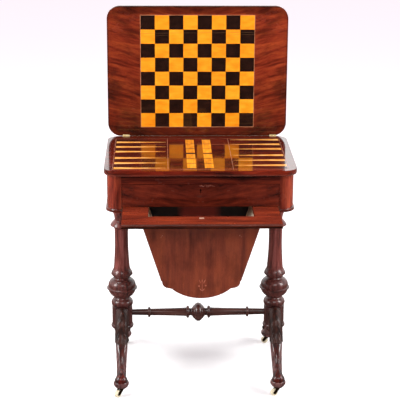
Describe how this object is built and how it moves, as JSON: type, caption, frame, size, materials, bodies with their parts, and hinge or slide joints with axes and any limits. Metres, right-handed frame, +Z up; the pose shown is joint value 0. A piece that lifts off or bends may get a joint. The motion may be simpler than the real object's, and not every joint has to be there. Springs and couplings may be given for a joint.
{
  "type": "chess table",
  "caption": "Fold-over games and work table: inlaid chessboard leaf, backgammon leaf, frieze drawer, sliding workbox, turned columns, cabriole legs on castors.",
  "frame": {"origin": "on the floor below the middle of the carcase", "axes": "+X to the user's right, +Y away from the user towards the hinge line of the leaves, +Z up"},
  "size_m": [0.5868, 0.5995, 1.1575],
  "materials": {
    "figured_veneer": "polished red-brown figured veneer",
    "turned_hardwood": "polished dark brown hardwood",
    "plain_hardwood": "plain oiled hardwood",
    "light_inlay": "polished light veneer",
    "dark_inlay": "polished dark veneer",
    "strip_inlay": "polished light brown veneer",
    "brass": "aged brass",
    "iron": "dark wrought iron",
    "china": "glazed cream china"
  },
  "bodies": {
    "carcase": {"pivot_board": "plain_hardwood", "corner_posts": "figured_veneer", "carcase_side_left": "figured_veneer", "carcase_side_right": "figured_veneer", "carcase_back": "plain_hardwood", "front_top_rail": "figured_veneer", "base_moulding": "turned_hardwood", "drawer_runners": "plain_hardwood", "drawer_side_guides": "plain_hardwood", "slide_guides": "plain_hardwood", "column_cleats": "plain_hardwood", "column_left": "turned_hardwood", "column_right": "turned_hardwood", "stretcher": "turned_hardwood", "castor_plates": "brass", "leg_front_left": "turned_hardwood", "leg_front_right": "turned_hardwood", "leg_back_left": "turned_hardwood", "leg_back_right": "turned_hardwood"},
    "lower_leaf": {"lower_leaf": "figured_veneer", "backgammon_points_dark": "dark_inlay", "backgammon_points_light": "light_inlay", "games_stringing": "light_inlay", "pegging_strips": "strip_inlay", "hinge_plates_lower": "brass", "hinge_pins": "brass", "swivel_plate": "iron", "swivel_washer": "iron", "swivel_nut": "iron", "swivel_stop": "turned_hardwood"},
    "upper_leaf": {"upper_leaf": "figured_veneer", "chess_squares_light": "light_inlay", "chess_squares_dark": "dark_inlay", "chess_stringing": "light_inlay", "hinge_plates_upper": "brass"},
    "drawer": {"drawer_front": "figured_veneer", "drawer_side_left": "plain_hardwood", "drawer_side_right": "plain_hardwood", "drawer_back": "plain_hardwood", "drawer_bottom": "plain_hardwood", "drawer_lock": "brass"},
    "workbox_slide": {"slide_stile_left": "turned_hardwood", "slide_stile_right": "turned_hardwood", "slide_front_rail": "turned_hardwood", "slide_back_rail": "turned_hardwood", "slide_nosing": "turned_hardwood", "slide_strike_plate": "brass", "workbox_front": "figured_veneer", "workbox_back": "figured_veneer", "workbox_side_left": "plain_hardwood", "workbox_side_right": "plain_hardwood", "workbox_bottom": "plain_hardwood"},
    "castor_horn_front_left": {"castor_horn_front_left": "brass"},
    "castor_wheel_front_left": {"castor_wheel_front_left": "china"},
    "castor_horn_front_right": {"castor_horn_front_right": "brass"},
    "castor_wheel_front_right": {"castor_wheel_front_right": "china"},
    "castor_horn_back_left": {"castor_horn_back_left": "brass"},
    "castor_wheel_back_left": {"castor_wheel_back_left": "china"},
    "castor_horn_back_right": {"castor_horn_back_right": "brass"},
    "castor_wheel_back_right": {"castor_wheel_back_right": "china"}
  },
  "joints": [
    {"name": "top_swivel", "type": "hinge", "parent": "carcase", "child": "lower_leaf", "pos_m": [0.10625, 0.10625, 0.7135], "axis": [0, 0, 1], "range_deg": [0, 90]},
    {"name": "leaf_fold", "type": "hinge", "parent": "lower_leaf", "child": "upper_leaf", "pos_m": [0, 0.21275, 0.73225], "axis": [1, 0, 0], "range_deg": [-90, 90]},
    {"name": "drawer_slide", "type": "slide", "parent": "carcase", "child": "drawer", "axis": [0, -1, 0], "range_m": [0, 0.29]},
    {"name": "workbox_slide", "type": "slide", "parent": "carcase", "child": "workbox_slide", "axis": [0, -1, 0], "range_m": [-0.169, 0.09]},
    {"name": "castor_swivel_front_left", "type": "hinge", "parent": "carcase", "child": "castor_horn_front_left", "pos_m": [-0.245, -0.205, 0.0285], "axis": [0, 0, 1], "continuous": true},
    {"name": "castor_roll_front_left", "type": "hinge", "parent": "castor_horn_front_left", "child": "castor_wheel_front_left", "pos_m": [-0.25524, -0.213, 0.0115], "axis": [0.6157, -0.788, 0], "continuous": true},
    {"name": "castor_swivel_front_right", "type": "hinge", "parent": "carcase", "child": "castor_horn_front_right", "pos_m": [0.245, -0.205, 0.0285], "axis": [0, 0, 1], "continuous": true},
    {"name": "castor_roll_front_right", "type": "hinge", "parent": "castor_horn_front_right", "child": "castor_wheel_front_right", "pos_m": [0.23286, -0.20966, 0.0115], "axis": [0.3584, -0.9336, 0], "continuous": true},
    {"name": "castor_swivel_back_left", "type": "hinge", "parent": "carcase", "child": "castor_horn_back_left", "pos_m": [-0.245, 0.205, 0.0285], "axis": [0, 0, 1], "continuous": true},
    {"name": "castor_roll_back_left", "type": "hinge", "parent": "castor_horn_back_left", "child": "castor_wheel_back_left", "pos_m": [-0.23951, 0.21678, 0.0115], "axis": [-0.9063, 0.4226, 0], "continuous": true},
    {"name": "castor_swivel_back_right", "type": "hinge", "parent": "carcase", "child": "castor_horn_back_right", "pos_m": [0.245, 0.205, 0.0285], "axis": [0, 0, 1], "continuous": true},
    {"name": "castor_roll_back_right", "type": "hinge", "parent": "castor_horn_back_right", "child": "castor_wheel_back_right", "pos_m": [0.23374, 0.2115, 0.0115], "axis": [-0.5, -0.866, 0], "continuous": true}
  ]
}
